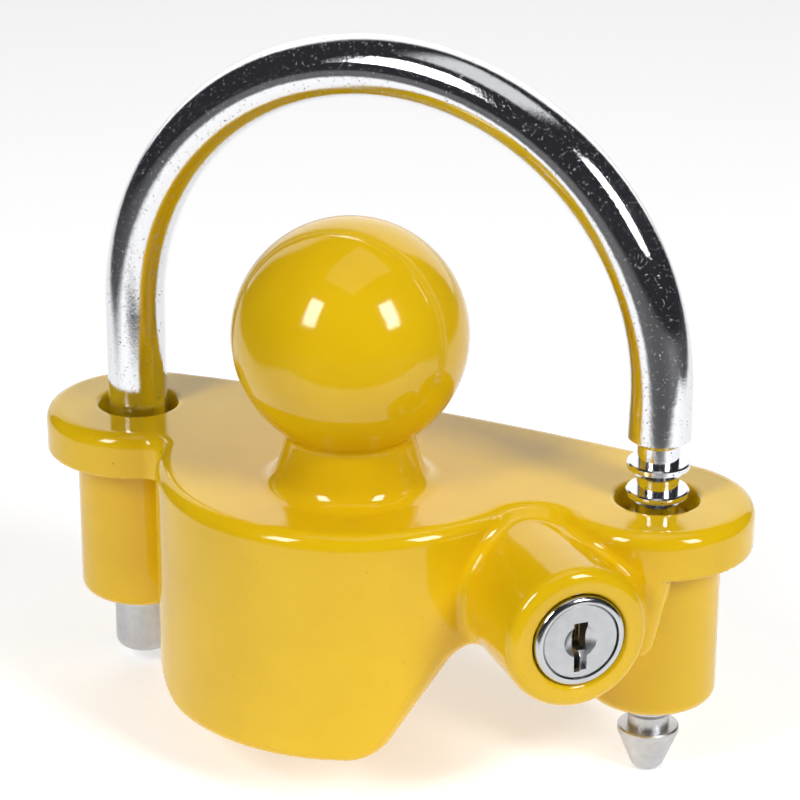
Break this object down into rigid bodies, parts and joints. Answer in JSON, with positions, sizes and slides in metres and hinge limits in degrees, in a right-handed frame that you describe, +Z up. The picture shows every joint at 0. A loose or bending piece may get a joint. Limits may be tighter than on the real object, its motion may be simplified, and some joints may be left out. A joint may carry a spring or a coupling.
{
  "type": "trailer coupler lock",
  "caption": "Trailer coupler lock: a yellow cast body with a dummy ball, a chrome U-shackle on a ratchet-toothed leg, and a side key cylinder that throws a bolt into the teeth.",
  "frame": {"origin": "centre of the dummy ball", "axes": "+Z up out of the ball's top, +X along the row of shackle legs towards the toothed leg and the key cylinder, -Y towards the front of the body"},
  "size_m": [0.1578, 0.0729, 0.1484],
  "materials": {
    "yellow_paint": "glossy safety-yellow paint over an iron casting",
    "chrome_rod": "bright chrome plate with pits and streaks, dull zinc at the leg ends",
    "bezel_chrome": "polished chrome plate",
    "plug_nickel": "satin nickel plate",
    "spring_steel": "drawn spring wire",
    "zinc_die_cast": "cast zinc, as moulded",
    "hardened_steel": "ground and hardened steel",
    "black_oxide": "black oxide",
    "wafer_brass": "stamped brass"
  },
  "bodies": {
    "body": {"body_casting": "yellow_paint", "lock_barrel": "bezel_chrome", "barrel_grub_screw": "black_oxide", "bolt_channel_plug": "yellow_paint", "bolt_spring": "spring_steel"},
    "shackle": {"shackle": "chrome_rod"},
    "plug": {"lock_plug": "plug_nickel", "plug_clip": "spring_steel", "drive_cam": "zinc_die_cast", "wafer_1": "wafer_brass", "wafer_2": "wafer_brass", "wafer_3": "wafer_brass", "wafer_4": "wafer_brass", "wafer_5": "wafer_brass", "wafer_6": "wafer_brass", "wafer_spring_1": "spring_steel", "wafer_spring_2": "spring_steel", "wafer_spring_3": "spring_steel", "wafer_spring_4": "spring_steel", "wafer_spring_5": "spring_steel", "wafer_spring_6": "spring_steel"},
    "bolt": {"lock_bolt": "hardened_steel"}
  },
  "joints": [
    {"name": "shackle_lift", "type": "slide", "parent": "body", "child": "shackle", "axis": [0, 0, 1], "range_m": [-0.02357, 0.065]},
    {"name": "plug_turn", "type": "hinge", "parent": "body", "child": "plug", "pos_m": [0.057, -0.0167, -0.048], "axis": [0.7071, -0.7071, 0], "range_deg": [0, 90]},
    {"name": "bolt_slide", "type": "slide", "parent": "body", "child": "bolt", "axis": [0.7071, 0.7071, 0], "range_m": [0, 0.003], "deforming": ["bolt_spring"]}
  ],
  "couplings": [
    {"joint": "bolt_slide", "follows": "plug_turn", "m_per_rad": 0.001909}
  ]
}
